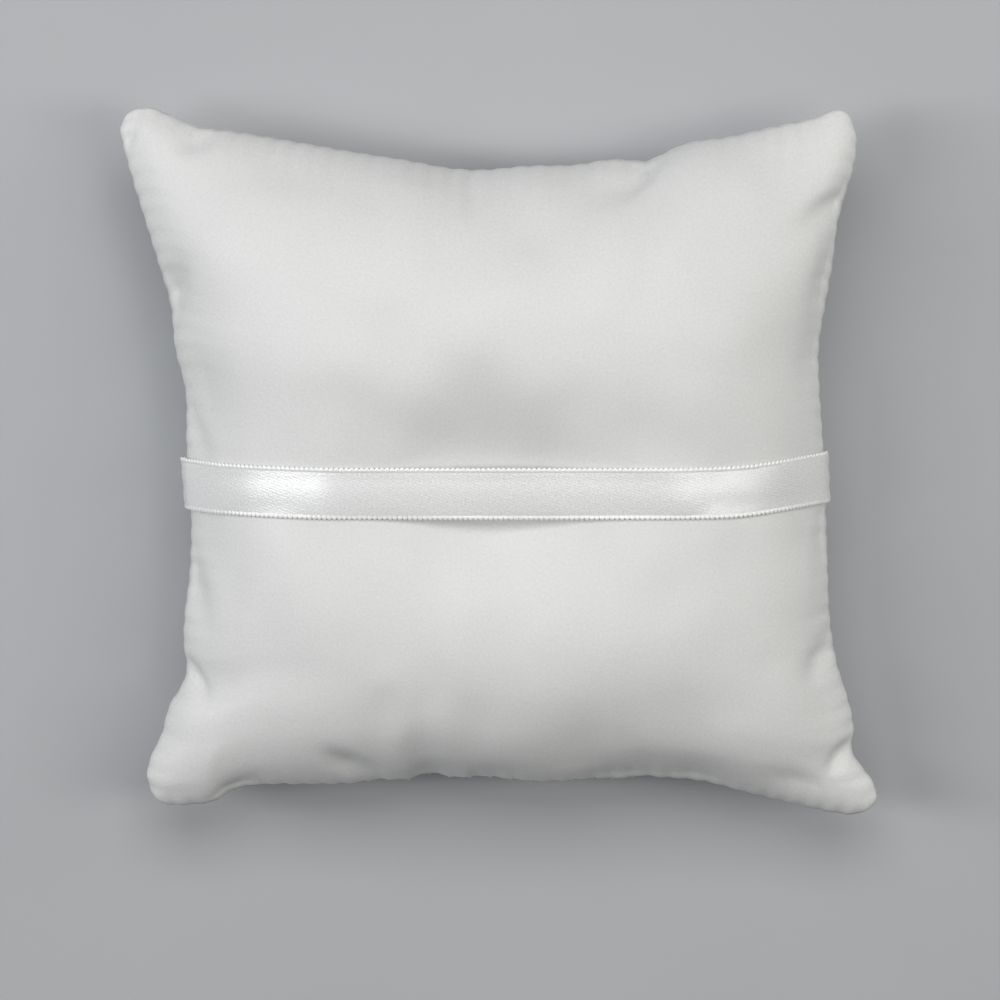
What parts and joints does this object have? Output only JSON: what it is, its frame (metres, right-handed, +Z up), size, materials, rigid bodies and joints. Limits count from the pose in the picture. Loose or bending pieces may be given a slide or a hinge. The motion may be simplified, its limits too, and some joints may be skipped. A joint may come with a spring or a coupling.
{
  "type": "ring bearer pillow",
  "caption": "Small square satin pillow, tufted in the middle, with a picot-edged satin hand strap across its back and a ribbon bow for the rings on its front.",
  "frame": {"origin": "middle of the pillow's box, on the surface that its front rests on", "axes": "+Z up through the thickness, out of the back with the hand strap; +X along the strap; +Y towards the top side"},
  "size_m": [0.1522, 0.1428, 0.0491],
  "materials": {
    "pillow_satin": "matt bridal satin, off-white, fine weave",
    "picot_ribbon": "double-face satin ribbon with picot edges, white, soft sheen",
    "narrow_ribbon": "narrow satin ribbon, white, soft sheen",
    "thread": "white polyester thread",
    "fibre": "carded polyester fibre fill"
  },
  "bodies": {
    "root": {"back_panel": "pillow_satin", "front_panel": "pillow_satin", "fibre_fill": "fibre", "seam_thread": "thread", "closing_stitches": "thread", "tuft_thread": "thread", "hand_strap": "picot_ribbon", "bow_loops": "narrow_ribbon", "bow_knot": "narrow_ribbon", "ring_tie_left": "narrow_ribbon", "ring_tie_right": "narrow_ribbon"}
  },
  "joints": []
}
